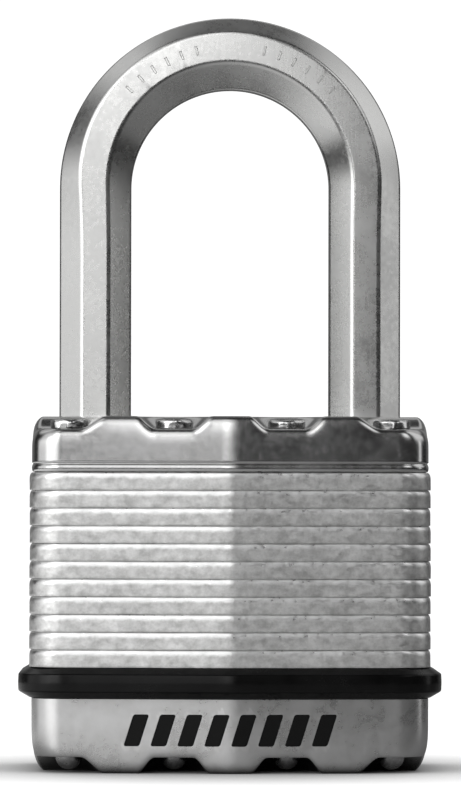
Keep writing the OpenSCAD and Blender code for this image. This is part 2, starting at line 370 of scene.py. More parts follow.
def pressed_surface(rim, holes, spacing):
    """An even net of triangles inside the rim and outside the holes: points and triangles.
    The rim's and the holes' own points come first."""
    fixed = [tuple(p) for p in rim]
    edges = [(i, (i + 1) % len(rim)) for i in range(len(rim))]
    for hole in holes:
        start = len(fixed)
        fixed += [tuple(p) for p in hole]
        edges += [(start + i, start + (i + 1) % len(hole)) for i in range(len(hole))]
    low, high = np.min(rim, axis=0), np.max(rim, axis=0)
    row_step = spacing * math.sqrt(3) / 2
    grid = []
    for j, y in enumerate(np.arange(low[1], high[1], row_step)):
        shift = spacing / 2 * (j % 2)
        grid += [(x + shift, y) for x in np.arange(low[0], high[0], spacing)]
    grid = np.array(grid)
    keep = inside_loop(grid, rim) & (loop_distance(grid, rim) > spacing * 0.5)
    for hole in holes:
        keep &= ~inside_loop(grid, hole) & (loop_distance(grid, hole) > spacing * 0.5)
    points = fixed + [tuple(p) for p in grid[keep]]
    result = geometry.delaunay_2d_cdt([Vector(p) for p in points], edges, [], 0, 1e-7)
    flat, triangles, source = result[0], result[2], result[3]
    order = [s[0] if s else -1 for s in source]
    if -1 in order or len(flat) != len(points):
        raise RuntimeError("the pressed surface's points changed")
    triangles = [tuple(order[i] for i in t) for t in triangles]
    points = np.array(points)
    middles = np.array([points[list(t)].mean(0) for t in triangles])
    keep = inside_loop(middles, rim)
    for hole in holes:
        keep &= ~inside_loop(middles, hole)
    return points, [t for t, k in zip(triangles, keep) if k]


def rising_profile(gentle, power, steps=30):
    """A wall that leans in ever faster, up to the gentle angle in degrees, and then turns sharply
    into the flat top: (share of the inset, share of the height) from its foot to its upper end."""
    samples = 600
    t = np.linspace(0, 1, samples)
    lean = np.radians(gentle * t ** power + (90 - gentle) * t ** 45)
    inset = np.cumsum(np.sin(lean))
    rise = np.cumsum(np.cos(lean))
    along = (lean / lean[-1] + t) / 2
    picks = np.interp(np.linspace(0, 1, steps), along, np.arange(samples)).round().astype(int)
    return [(inset[i] / inset[-1], rise[i] / rise[-1]) for i in picks[1:]]


def build_cover(height, pocket, slope, holes, edge_front, edge_side, pocket_bend, lip):
    """A pressed cover with its closed face at z = 0 and its open rim at z = -height. Pockets sink
    round the rivets. edge_front and edge_side are (inset, gentle angle, power) of the bend into the closed face, and
    pocket_bend is the share of that inset left where a pocket meets the wall."""
    counts = (9, 64, 14, 22)
    wall = outline(COVER_STEP, COVER_CREASE_R, CORNER_R, counts)
    normals = outward(wall)
    sideways = soft_step(np.abs(normals[:, 0]) * 1.3)
    bend = edge_front[0] + (edge_side[0] - edge_front[0]) * sideways
    sunk = soft_step(0.5 - pocket_distance(wall[:, 0], wall[:, 1]) / slope)
    bend *= 1 - (1 - pocket_bend) * sunk
    rim = wall - normals * bend[:, None]
    n = len(rim)
    points, triangles = pressed_surface(rim, holes, 0.42)
    z = -pocket * soft_step(0.5 - pocket_distance(points[:, 0], points[:, 1]) / slope)
    outer = [(x, y, h) for (x, y), h in zip(points, z)]
    verts = list(outer)
    faces = [tuple(t) for t in triangles]
    rings = [0]
    foot = -height + lip[0][1]
    front, side = rising_profile(*edge_front[1:]), rising_profile(*edge_side[1:])
    for (in_front, up_front), (in_side, up_side) in reversed(list(zip(front, side))[:-1]):
        rings.append(len(verts))
        for p, normal, b, share, top in zip(wall, normals, bend, sideways, z[:n]):
            inset = b * (in_front + (in_side - in_front) * share)
            up = up_front + (up_side - up_front) * share
            verts.append((p[0] - normal[0] * inset, p[1] - normal[1] * inset, foot + (top - foot) * up))
    for inset, up in lip:
        rings.append(len(verts))
        ring = wall - normals * inset
        verts += [(x, y, -height + up) for x, y in ring]
    inner_wall = wall - normals * SHEET
    for up in (0.1, height - pocket - SHEET - 0.6):
        rings.append(len(verts))
        verts += [(x, y, -height + up) for x, y in inner_wall]
    under = len(verts)
    verts += [(x, y, h - SHEET) for x, y, h in outer]
    faces += [tuple(under + i for i in reversed(t)) for t in triangles]
    rings.append(under)
    for a, b in zip(rings, rings[1:]):
        faces += ring_faces(a, b, n)
    start = n
    for hole in holes:
        faces += ring_faces(start, under + start, len(hole))
        start += len(hole)
    return verts, faces


def round_holes(node, z, largest):
    """The CAD cover's round holes at a height, up to a size across."""
    found = []
    for loop in plane_loops(node, z):
        span = np.ptp(np.array(loop), axis=0)
        if abs(span[0] - span[1]) < 0.1 and span[0] < largest:
            found.append(loop)
    return found


def build_top_cover():
    leg_holes = round_holes("top_cover", BODY_TOP, 12)
    rivet_holes = round_holes("top_cover", BODY_TOP - TOP_POCKET, 4)
    groove, bead = 0.13, 0.14
    lip = [(0.0, 1.3), (0.0, 1.12), (0.02, 1.08), (groove * 0.8, 1.04), (groove, 1.0)]
    lip += [(groove - bead * math.sin(math.pi * t) ** 0.7, 0.94 - 0.9 * t) for t in np.linspace(0, 0.95, 12)]
    lip += [(0.35, 0.0), (0.75, 0.0)]
    height = BODY_TOP - TOP_RIM
    verts, faces = build_cover(
        height, TOP_POCKET, 2.2, leg_holes + rivet_holes,
        (0.62, 32, 8), (1.2, 48, 5), 0.9, lip,
    )
    verts = [(x, y, z + BODY_TOP) for x, y, z in verts]
    return make_object("top_cover_looks", verts, faces, 50)


def build_bottom_cover():
    plug_hole = round_holes("bottom_cover", 0, 14)
    rivet_holes = round_holes("bottom_cover", BOTTOM_POCKET, 4)
    lip = [(0.0, 1.2), (0.0, 0.8), (0.0, 0.5), (0.0, 0.2), (0.0, 0.06), (0.05, 0.0)]
    lip += [(0.35, 0.0), (0.75, 0.0)]
    verts, faces = build_cover(
        BOTTOM_RIM, BOTTOM_POCKET - 0.12, 1.9, plug_hole + rivet_holes,
        (0.32, 26, 12), (1.4, 48, 4), 0.4, lip,
    )
    verts = [(x, -y, -z) for x, y, z in verts]
    return make_object("bottom_cover_looks", verts, faces, 50)


# ---------------------------------------------------------------- pressed marks

MARK_COUNT = 8
MARK_PITCH = 2.95
MARK_WIDTH = 1.75
MARK_HEIGHT = 3.5
MARK_LEAN = 1.1
MARK_Z = 4.75


def on_marks(x, y, z):
    """Whether a point lies in the band of the bars on the bottom cover's front."""
    reach = (MARK_COUNT / 2 + 0.4) * MARK_PITCH
    return abs(x) < reach and y < -HALF_D * 0.8 and abs(z - MARK_Z) < MARK_HEIGHT / 2 + 0.4


def mark_shape(grow):
    """A slanted bar's rounded outline in its facet's own plane."""
    w, h = MARK_WIDTH / 2 + grow, MARK_HEIGHT / 2 + grow
    r = 0.25 + grow
    points = []
    for cx, cz, start in ((w - r, -h + r, -90), (w - r, h - r, 0), (-w + r, h - r, 90), (-w + r, -h + r, 180)):
        for t in np.linspace(start, start + 90, 5):
            x = cx + r * math.cos(math.radians(t))
            z = cz + r * math.sin(math.radians(t))
            points.append((x + z / MARK_HEIGHT * MARK_LEAN, z))
    return points


def mark_solid(name, layers):
    """One solid of all the bars. Each layer is (depth into the cover, growth of the outline)."""
    verts, faces = [], []
    half_d = HALF_D - COVER_STEP / math.cos(FACET)
    for k in range(MARK_COUNT):
        x0 = (k - (MARK_COUNT - 1) / 2) * MARK_PITCH
        side = 1 if x0 > 0 else -1
        along = np.array((math.cos(FACET), side * math.sin(FACET)))
        inward = np.array((-side * math.sin(FACET), math.cos(FACET)))
        origin = np.array((x0, -half_d + abs(x0) * math.tan(FACET)))
        starts = []
        for depth, grow in layers:
            starts.append(len(verts))
            for x, z in mark_shape(grow):
                p = origin + along * x + inward * depth
                verts.append((p[0], p[1], MARK_Z + z))
        n = len(mark_shape(0))
        for a, b in zip(starts, starts[1:]):
            faces += ring_faces(a, b, n)
        faces.append(tuple(range(starts[0], starts[0] + n)))
        faces.append(tuple(reversed(range(starts[-1], starts[-1] + n))))
    return make_object(name, verts, faces, 40)


# ---------------------------------------------------------------- bumper

def build_bumper():
    """The rubber ring: flat outer band, slanted edges, small rounded bends."""
    low, high = box_mm("bumper")
    z0, z1 = low[2], high[2]
    out = high[0] - HALF_W
    inner = COVER_STEP + SHEET + 0.02
    slant_low, slant_high, round_r, bulge = 0.74, 0.74, 0.16, 0.04
    corners = [(inner, z0), (0.1, z0), (bulge - out, z0 + slant_low), (-out, (z0 + z1) / 2)]
    corners += [(bulge - out, z1 - slant_high), (0.1, z1), (inner, z1)]
    profile = [corners[0]]
    for before, here, after in zip(corners, corners[1:], corners[2:]):
        before, here, after = map(np.array, (before, here, after))
        a = here + (before - here) / np.linalg.norm(before - here) * round_r
        b = here + (after - here) / np.linalg.norm(after - here) * round_r
        for t in np.linspace(0, 1, 5):
            profile.append(tuple((1 - t) ** 2 * a + 2 * t * (1 - t) * here + t * t * b))
    profile.append(corners[-1])
    rings = [[(x, y, z) for x, y in outline(inset, 8.0, 4.3)] for inset, z in profile]
    n = len(rings[0])
    verts = [p for ring in rings for p in ring]
    faces = []
    for i in range(len(rings)):
        faces += ring_faces(i * n, (i + 1) % len(rings) * n, n)
    return make_object("bumper_looks", verts, faces)


# ---------------------------------------------------------------- shackle

def bar_outline(round_r=0.32, steps=4):
    """The bar's section: eight flats with rounded edges, a hair inside the CAD section."""
    a, b = BAR / 2 - 0.004, BAR_FLAT / 2
    corners = [(a, -b), (a, b), (b, a), (-b, a), (-a, b), (-a, -b), (-b, -a), (b, -a)]
    points = []
    for i, here in enumerate(corners):
        before, here, after = (np.array(corners[(i + k) % 8]) for k in (-1, 0, 1))
        to_before = (before - here) / np.linalg.norm(before - here)
        to_after = (after - here) / np.linalg.norm(after - here)
        p, q = here + to_before * round_r, here + to_after * round_r
        for t in np.linspace(0, 1, steps):
            points.append((1 - t) ** 2 * p + 2 * t * (1 - t) * here + t * t * q)
    points = np.array(points)
    points[:, 1] *= 1 - math.tan(FLAT_TILT) * np.clip(points[:, 0] + BAR_FLAT / 2, 0, None) / a
    return points


def shackle_path():
    """Middle points along the bar with the direction that points away from the crown's centre."""
    steps = []
    for z in np.linspace(shackle_low[2] - 1, CROWN_Z, 60)[:-1]:
        steps.append(((-LEG_X, z), (-1, 0)))
    for t in np.linspace(math.pi, 0, 97):
        out = (math.cos(t), math.sin(t))
        steps.append(((LEG_X * out[0], CROWN_Z + LEG_X * out[1]), out))
    toe_tip = 24.0
    for z in np.linspace(CROWN_Z, toe_tip, 50)[1:]:
        steps.append(((LEG_X, z), (1, 0)))
    return steps


def crown_shift(x, y, z):
    """How far outwards the bend has drawn the bar's front and back flats at a point, as a vector."""
    rise = float(soft_step((z - CROWN_Z + 8) / (LEG_X + 8))) * (1 - 0.35 * max(x / LEG_X, 0))
    depth = max(abs(y) - BAR_FLAT / 2, 0) / (BAR / 2 - BAR_FLAT / 2)
    if rise * depth == 0:
        return np.zeros(3)
    out = np.array((x, 0, max(z - CROWN_Z, 0)))
    reach = np.linalg.norm(out)
    return out / reach * rise * depth * (0.62 + 0.14 * (reach - LEG_X))


DASH_RADIUS = LEG_X + 0.6


def on_dashes(x, y, z):
    """Whether a point lies in the band of the dashes on the crown's front flat."""
    return y < -3.5 and z > CROWN_Z and abs(math.hypot(x, z - CROWN_Z) - DASH_RADIUS) < 0.6


def dash_cutter():
    """Short shallow dashes in the front flat of the crown, where such a bar is stamped."""
    verts, faces = [], []
    half_along, half_out, depth, flare = 0.07, 0.44, 0.09, 0.08
    angles = [math.radians(90 + side * (14 + 6.4 * i)) for side in (-1, 1) for i in range(6)]
    for angle in angles:
        out = np.array((math.cos(angle), math.sin(angle)))
        along = np.array((-out[1], out[0]))
        middle = np.array((0, CROWN_Z)) + out * DASH_RADIUS
        start = len(verts)
        for sunk, grow in ((-depth, flare), (0, flare), (depth, 0)):
            for u, v in ((-1, -1), (1, -1), (1, 1), (-1, 1)):
                p = middle + along * u * (half_along + grow) + out * v * (half_out + grow)
                fall = math.tan(FLAT_TILT) * (v * (half_out + grow) + BAR_FLAT / 2)
                verts.append((p[0], -BAR / 2 + sunk + fall, p[1]))
        faces += ring_faces(start, start + 4, 4) + ring_faces(start + 4, start + 8, 4)
        faces.append((start, start + 1, start + 2, start + 3))
        faces.append((start + 11, start + 10, start + 9, start + 8))
    return make_object("dash_cutter", verts, faces)


def build_shackle():
    section = bar_outline()
    n = len(section)
    verts = []
    steps = shackle_path()
    for (x, z), out in steps:
        for u, v in section:
            verts.append((x + out[0] * u, v, z + out[1] * u))
    faces = []
    for i in range(len(steps) - 1):
        faces += ring_faces(i * n, (i + 1) * n, n)
    last = (len(steps) - 1) * n
    faces.append(tuple(reversed(range(n))))
    faces.append(tuple(range(last, last + n)))
    obj = make_object("shackle_looks", verts, faces)
    boolean(obj, merged_copy("shackle"), "INTERSECT")
    for vertex in obj.data.vertices:
        x, y, z = vertex.co / MM
        vertex.co += Vector(crown_shift(x, y, z)) * MM
    boolean(obj, dash_cutter())
    shade(obj, 30)
    flatten_walls(obj, on_dashes)
    return obj


# ---------------------------------------------------------------- turned pieces and springs

def lathe(profile, centre, segments=56, axis="z"):
    """A closed turned solid: profile points are (radius, height), with both ends on the axis."""
    verts, faces = [], []
    inner = profile[1:-1]
    for r, h in inner:
        for i in range(segments):
            t = 2 * math.pi * i / segments
            verts.append((r * math.cos(t), r * math.sin(t), h))
    for i in range(len(inner) - 1):
        faces += ring_faces(i * segments, (i + 1) * segments, segments)
    for end, ring in ((profile[0], 0), (profile[-1], (len(inner) - 1) * segments)):
        tip = len(verts)
        verts.append((0, 0, end[1]))
        for i in range(segments):
            faces.append((ring + (i + 1) % segments, ring + i, tip))
    turned = []
    for x, y, z in verts:
        p = {"z": (x, y, z), "y": (x, z, -y), "x": (z, y, -x)}[axis]
        turned.append(tuple(np.add(p, centre)))
    return turned, faces


def build_rivet(name, index):
    """Domed foot, shank, and a peened head with a ring mark and a dimple."""
    low, high = box_mm(name)
    middle = (low + high) / 2
    seat, top, foot = BODY_TOP - TOP_POCKET, high[2], low[2]
    shank = 1.5
    profile = [(0, foot)]
    for t in np.linspace(10, 80, 8):
        profile.append((shank * math.sin(math.radians(t)), foot + 1.5 * (1 - math.cos(math.radians(t)))))
    profile += [(shank, foot + 1.6), (shank, seat - 0.02), (1.95, seat), (2.06, seat + 0.12)]
    for t in np.linspace(0, 80, 7):
        profile.append((1.72 + 0.36 * math.cos(math.radians(t)), top - 0.4 + 0.4 * math.sin(math.radians(t))))
    profile += [(1.5, top - 0.03), (1.32, top - 0.1), (1.18, top - 0.22), (1.05, top - 0.12)]
    profile += [(0.9, top - 0.08), (0.7, top - 0.16), (0.45, top - 0.34), (0.2, top - 0.4), (0, top - 0.41)]
    verts, faces = lathe(profile, (middle[0], middle[1], 0))
    head = wander([v for v in verts], 1.1, 0.16, index + 11)
    verts = [h if h[2] > seat + 0.1 else v for v, h in zip(verts, head)]
    limit = high[2]
    verts = [(x, y, min(z, limit)) for x, y, z in verts]
    return make_object(name + "_looks", verts, faces)


def coil(name, mean_r, wire_r, z0, z1, turns, end_turns=0.8, leg=None):
    """A coil spring about Z from z0 to z1, with its last turns closed up flat."""
    steps, sides = 44, 14
    total = int(turns * steps)
    dead = end_turns / turns
    verts, faces = [], []
    for i in range(total + 1):
        s = i / total
        t = 2 * math.pi * turns * s
        lift = wire_r * 1.3 * min(s / dead, 1) if dead else 0
        free = np.clip((s - dead) / (1 - 2 * dead), 0, 1)
        tail = wire_r * 1.3 * max((s - 1 + dead) / dead, 0) if dead else 0
        z = z0 + wire_r + lift + tail + free * (z1 - z0 - 2 * wire_r - 2.6 * wire_r)
        for j in range(sides):
            a = 2 * math.pi * j / sides
            r = mean_r + wire_r * math.cos(a)
            verts.append((r * math.cos(t), r * math.sin(t), z + wire_r * math.sin(a)))
    for i in range(total):
        faces += ring_faces(i * sides, (i + 1) * sides, sides)
    faces.append(tuple(range(sides)))
    faces.append(tuple(reversed(range(total * sides, (total + 1) * sides))))
    return verts, faces


def build_shackle_spring():
    low, high = box_mm("shackle_spring")
    middle = (low + high) / 2
    wire = 0.4
    verts, faces = coil("shackle_spring", (high[0] - low[0]) / 2 - wire, wire, low[2], high[2], 6.5)
    verts = [(x + middle[0], y + middle[1], z) for x, y, z in verts]
    return make_object("shackle_spring_looks", verts, faces, 60)


def build_cam_spring():
    low, high = box_mm("cam_spring")
    wire = 0.4
    verts, faces = coil("cam_spring", (high[0] - low[0]) / 2 - wire, wire, low[2], high[2], 5.25, 0)
    return make_object("cam_spring_looks", verts, faces, 60)


def build_pin_spring(name):
    low, high = box_mm(name)
    middle = (low + high) / 2
    wire = 0.16
    verts, faces = coil(name, (high[0] - low[0]) / 2 - wire, wire, low[1], high[1], 4.5)
    verts = [(x, z, -y + middle[2]) for x, y, z in verts]
    return make_object(name + "_looks", verts, faces, 60)


def build_ball(name):
    """A polished ball with even, near-square faces: a subdivided cube pushed out to a sphere."""
    low, high = box_mm(name)
    middle, radius = (low + high) / 2, (high[0] - low[0]) / 2
    bm = bmesh.new()
    bmesh.ops.create_cube(bm, size=2)
    bmesh.ops.subdivide_edges(bm, edges=bm.edges, cuts=15, use_grid_fill=True)
    for v in bm.verts:
        x, y, z = (math.tan(c * math.pi / 4) for c in v.co)
        v.co = Vector((x, y, z)).normalized()
    verts = [tuple(np.array(v.co) * radius + middle) for v in bm.verts]
    faces = [tuple(v.index for v in f.verts) for f in bm.faces]
    bm.free()
    return make_object(name + "_looks", verts, faces)


# ---------------------------------------------------------------- materials

class Shader:
    """Builds a node material: each call adds a node and returns its output socket."""

    def __init__(self, name):
        self.material = bpy.data.materials.new(name)
        self.material.use_nodes = True
        self.tree = self.material.node_tree
        self.bsdf = self.tree.nodes["Principled BSDF"]
        self.position = self.add("ShaderNodeTexCoord").outputs["Object"]

    def add(self, kind, **settings):
        node = self.tree.nodes.new(kind)
        for key, value in settings.items():
            setattr(node, key, value)
        return node

    def link(self, source, target):
        self.tree.links.new(source, target)

    def mapped(self, scale, rotation=(0, 0, 0), source=None):
        """Object position in metres, rotated and then scaled, so that scale is features per metre."""
        node = self.add("ShaderNodeMapping", vector_type="POINT")
        node.inputs["Scale"].default_value = scale
        node.inputs["Rotation"].default_value = Euler([math.radians(a) for a in rotation])
        self.link(source or self.position, node.inputs["Vector"])
        return node.outputs["Vector"]

    def noise(self, vector, scale=1.0, detail=3.0, roughness=0.55, distortion=0.0):
        node = self.add("ShaderNodeTexNoise")
        node.inputs["Scale"].default_value = scale
        node.inputs["Detail"].default_value = detail
        node.inputs["Roughness"].default_value = roughness
        node.inputs["Distortion"].default_value = distortion
        self.link(vector, node.inputs["Vector"])
        return node.outputs["Fac"]

    def spread(self, value, low, high, out_low=0.0, out_high=1.0):
        """Stretches a value from one range to another, held at both ends."""
        node = self.add("ShaderNodeMapRange", clamp=True)
        for key, number in (("From Min", low), ("From Max", high), ("To Min", out_low), ("To Max", out_high)):
            node.inputs[key].default_value = number
        self.link(value, node.inputs["Value"])
        return node.outputs["Result"]

    def math(self, operation, a, b):
        node = self.add("ShaderNodeMath", operation=operation)
        for socket, value in zip(node.inputs, (a, b)):
            if isinstance(value, (int, float)):
                socket.default_value = value
            else:
                self.link(value, socket)
        return node.outputs["Value"]

    def mix(self, factor, a, b, blend="MIX"):
        node = self.add("ShaderNodeMix", data_type="RGBA", blend_type=blend)
        for socket, value in ((node.inputs["Factor"], factor), (node.inputs[6], a), (node.inputs[7], b)):
            if isinstance(value, (int, float)):
                socket.default_value = value
            elif isinstance(value, tuple):
                socket.default_value = (*value, 1)
            else:
                self.link(value, socket)
        return node.outputs[2]

    def edges(self, low, high):
        """1 on outer edges and 0 on flats, from the mesh's own pointedness."""
        node = self.add("ShaderNodeNewGeometry")
        return self.spread(node.outputs["Pointiness"], low, high)

    def recesses(self, distance):
        """1 in deep narrow places and 0 in the open, looking the given distance around."""
        node = self.add("ShaderNodeAmbientOcclusion", samples=8, only_local=False)
        node.inputs["Distance"].default_value = distance
        return self.spread(node.outputs["AO"], 0.35, 0.8, 1.0, 0.0)

    def bump(self, height, strength, distance, after=None):
        node = self.add("ShaderNodeBump")
        node.inputs["Strength"].default_value = strength
        node.inputs["Distance"].default_value = distance
        self.link(height, node.inputs["Height"])
        if after is not None:
            self.link(after, node.inputs["Normal"])
        return node.outputs["Normal"]

    def finish(self, color, roughness, normal=None, metallic=1.0, **constants):
        self.link(color, self.bsdf.inputs["Base Color"])
        self.link(roughness, self.bsdf.inputs["Roughness"])
        if normal is not None:
            self.link(normal, self.bsdf.inputs["Normal"])
        self.bsdf.inputs["Metallic"].default_value = metallic
        for key, value in constants.items():
            self.bsdf.inputs[key.replace("_", " ")].default_value = value
        return self.material


def grey(value, tint=(1.0, 1.0, 1.0)):
    return tuple(value * t for t in tint)


def metal(name, dark, light, rough_low, rough_high, grain=(2500, 2500, 2500), brushed=(300, 300, 9000),
          brush_depth=0.10, grain_depth=0.06, cloud=220.0, wear=0.25, painted_shade=0.0):
    """Worked metal: cloudy colour, fine grain, brushed lines along one axis, bright worn edges, and
    painted shade that darkens the colour in recesses, found by ambient occlusion, at the strength given."""
    s = Shader(name)
    clouds = s.noise(s.mapped((cloud,) * 3), detail=4.0, roughness=0.6)
    fine = s.noise(s.mapped(grain), detail=2.0, roughness=0.6)
    lines = s.noise(s.mapped(brushed), detail=2.0, roughness=0.5)
    body = s.mix(s.spread(clouds, 0.35, 0.68), dark, light)
    body = s.mix(s.math("MULTIPLY", s.spread(fine, 0.3, 0.75), 0.35), body, light)
    body = s.mix(s.math("MULTIPLY", s.edges(0.515, 0.56), wear), body, grey(0.9))
    # painted shade: ambient occlusion darkens the colour in recesses and close over the floor
    if painted_shade:
        body = s.mix(s.math("MULTIPLY", s.recesses(0.002), painted_shade), body, grey(0.03))
    rough = s.math("ADD", s.spread(clouds, 0.3, 0.7, rough_low, rough_high), s.spread(fine, 0.2, 0.8, -0.03, 0.05))
    normal = s.bump(lines, brush_depth, 0.00002)
    normal = s.bump(fine, grain_depth, 0.00004, normal)
    return s.finish(body, rough, normal)


def build_materials():
    made = {}
    made["plate_steel"] = plate_material()
    made["cover_steel"] = metal(
        "cover_steel", grey(0.50, (1.0, 0.995, 0.985)), grey(0.60), 0.17, 0.24,
        grain=(1500, 1500, 1500), brushed=(900, 900, 160), brush_depth=0.06, grain_depth=0.06,
        cloud=150.0, wear=0.25,
    )
    # base cover: painted shade darkens its pockets and the foot of its walls
    made["base_cover_steel"] = metal(
        "base_cover_steel", grey(0.46, (1.0, 0.995, 0.985)), grey(0.56), 0.24, 0.34,
        grain=(1500, 1500, 1500), brushed=(900, 900, 160), brush_depth=0.08, grain_depth=0.10,
        cloud=260.0, wear=0.25, painted_shade=0.9,
    )
    made["shackle_steel"] = metal(
        "shackle_steel", grey(0.56, (1.0, 1.0, 0.985)), grey(0.68, (1.0, 1.0, 0.99)), 0.22, 0.32,
        grain=(1800, 1800, 1800), brushed=(4200, 4200, 220), brush_depth=0.08, grain_depth=0.03,
        cloud=180.0, wear=0.45,
    )
    # rivets: painted shade darkens them where they sit deep in their pockets
    made["rivet_steel"] = metal(
        "rivet_steel", grey(0.42), grey(0.66), 0.16, 0.30, cloud=900.0, grain_depth=0.3, wear=0.4, painted_shade=0.6,
    )
    made["hardened_steel"] = metal("hardened_steel", grey(0.26), grey(0.4), 0.35, 0.5, cloud=500.0)
    made["spring_steel"] = metal("spring_steel", grey(0.3), grey(0.45), 0.25, 0.38, cloud=700.0)
    made["ball_steel"] = metal(
        "ball_steel", grey(0.55), grey(0.66), 0.06, 0.12, brush_depth=0.02, grain_depth=0.01, wear=0.0,
    )
    made["cam_zinc"] = metal("cam_zinc", grey(0.34), grey(0.5), 0.4, 0.55, grain_depth=0.4, cloud=700.0)
    brass_dark, brass_light = (0.50, 0.36, 0.13), (0.72, 0.54, 0.24)
    made["cylinder_brass"] = metal(
        "cylinder_brass", brass_dark, brass_light, 0.24, 0.36, brush_depth=0.15, cloud=500.0, wear=0.3,
    )
    made["bumper_rubber"] = rubber_material()
    made["mark_paint"] = paint_material()
    return made


def plate_material():
    """Sheared plate edges: a smoother roll-over at the top of each plate, lightened in colour as a painted
    highlight, and a mottled face.
    """
    s = Shader("plate_steel")
    split = s.add("ShaderNodeSeparateXYZ")
    s.link(s.position, split.inputs["Vector"])
    layer = s.math("DIVIDE", s.math("SUBTRACT", split.outputs["Z"], plate_low[2] * MM), PLATE_T * MM)
    ragged = s.noise(s.mapped((900, 900, 300)), detail=3.0)
    height = s.math("ADD", s.math("FRACT", layer, 0), s.spread(ragged, 0.3, 0.7, -0.08, 0.08))
    rolled = s.spread(height, 0.62, 0.78)
    clouds = s.noise(s.mapped((750, 750, 950)), detail=5.0, roughness=0.62)
    blots = s.noise(s.mapped((1500, 1500, 2200)), detail=2.0, roughness=0.5)
    fine = s.noise(s.mapped((4200, 4200, 2600)), detail=3.0, roughness=0.7)
    streaks = s.noise(s.mapped((2600, 2600, 350)), detail=2.0)
    body = s.mix(s.spread(clouds, 0.34, 0.66), grey(0.43, (1.0, 1.0, 0.985)), grey(0.74, (1.0, 1.0, 0.99)))
    body = s.mix(s.math("MULTIPLY", s.spread(fine, 0.3, 0.75), 0.3), body, grey(0.72))
    # painted highlight: the band at the top of each plate is lightened in colour; its lower roughness just below is
    # real
    body = s.mix(s.math("MULTIPLY", rolled, 0.6), body, grey(0.86))
    rough = s.spread(blots, 0.3, 0.7, 0.38, 0.56)
    rough = s.math("SUBTRACT", rough, s.math("MULTIPLY", rolled, 0.12))
    normal = s.bump(streaks, 0.35, 0.00002)
    normal = s.bump(blots, 0.35, 0.00004, normal)
    normal = s.bump(fine, 0.15, 0.00002, normal)
    return s.finish(body, rough, normal)


def rubber_material():
    """Moulded black rubber: satin, faintly speckled, with a few rubbed patches."""
    s = Shader("bumper_rubber")
    clouds = s.noise(s.mapped((260,) * 3), detail=4.0)
    fine = s.noise(s.mapped((5200,) * 3), detail=2.0)
    color = s.mix(s.spread(clouds, 0.35, 0.7), grey(0.002), grey(0.005))
    rough = s.math("ADD", s.spread(clouds, 0.3, 0.7, 0.20, 0.28), s.spread(fine, 0.3, 0.7, -0.02, 0.02))
    normal = s.bump(fine, 0.10, 0.00004)
    return s.finish(color, rough, normal, metallic=0.0, Specular_IOR_Level=0.2)


def paint_material():
    """Black filling paint, slightly uneven."""
    s = Shader("mark_paint")
    clouds = s.noise(s.mapped((900,) * 3), detail=4.0)
    color = s.mix(clouds, grey(0.002), grey(0.006))
    rough = s.spread(clouds, 0.3, 0.7, 0.45, 0.6)
    normal = s.bump(clouds, 0.3, 0.00003)
    return s.finish(color, rough, normal, metallic=0.0, Specular_IOR_Level=0.15)


# ---------------------------------------------------------------- assembling

def place(obj, body, slot, material, *nodes):
    """Gives a finished piece its material, its body and the CAD nodes it stands for."""
    obj.data.materials.clear()
    obj.data.materials.append(material)
    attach(obj, body)
    if nodes:
        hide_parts(*nodes)


def build_pieces(materials):
    for index, name in enumerate(SHOWN_PLATES):
        place(build_plate(name, index), "body", "plate_steel", materials["plate_steel"], name)
    place(build_top_cover(), "body", "cover_steel", materials["cover_steel"], "top_cover")
    bottom = build_bottom_cover()
    boolean(bottom, mark_solid("mark_cutter", [(0.30, 0.0), (-0.25, 0.0)]))
    shade(bottom, 28)
    flatten_walls(bottom, on_marks)
    place(bottom, "body", "cover_steel", materials["base_cover_steel"], "bottom_cover")
    place(mark_solid("mark_fill", [(0.29, -0.01), (0.07, -0.01)]), "body", "cover_steel", materials["mark_paint"])
    place(build_bumper(), "body", "bumper_rubber", materials["bumper_rubber"], "bumper")
    for index, name in enumerate(RIVETS):
        place(build_rivet(name, index), "body", "rivet_steel", materials["rivet_steel"], name)
    place(build_shackle(), "shackle", "shackle_steel", materials["shackle_steel"], "shackle")
    place(build_cam_spring(), "body", "spring_steel", materials["spring_steel"], "cam_spring")
    for i in (1, 2, 3, 4):
        name = f"pin_spring_{i}"
        place(build_pin_spring(name), "body", "spring_steel", materials["spring_steel"], name)
    for name in ("heel_ball", "toe_ball"):
        place(build_ball(name), name, "ball_steel", materials["ball_steel"], name)
    spring = build_shackle_spring()
    spring.modifiers.clear()
    spring.data.materials.append(materials["spring_steel"])
    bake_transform(spring)
    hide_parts("shackle_spring")


def dress_cad_nodes(materials):
    """CAD nodes that stay get their slot's material."""
    slots = {row["node"]: row["material_slot"] for row in frame["record"]["subparts"]}
    for name, node in frame["nodes"].items():
        if node.hide_render:
            continue
        node.data.materials.clear()
        node.data.materials.append(materials[slots[name]])


# ---------------------------------------------------------------- stage, light, camera

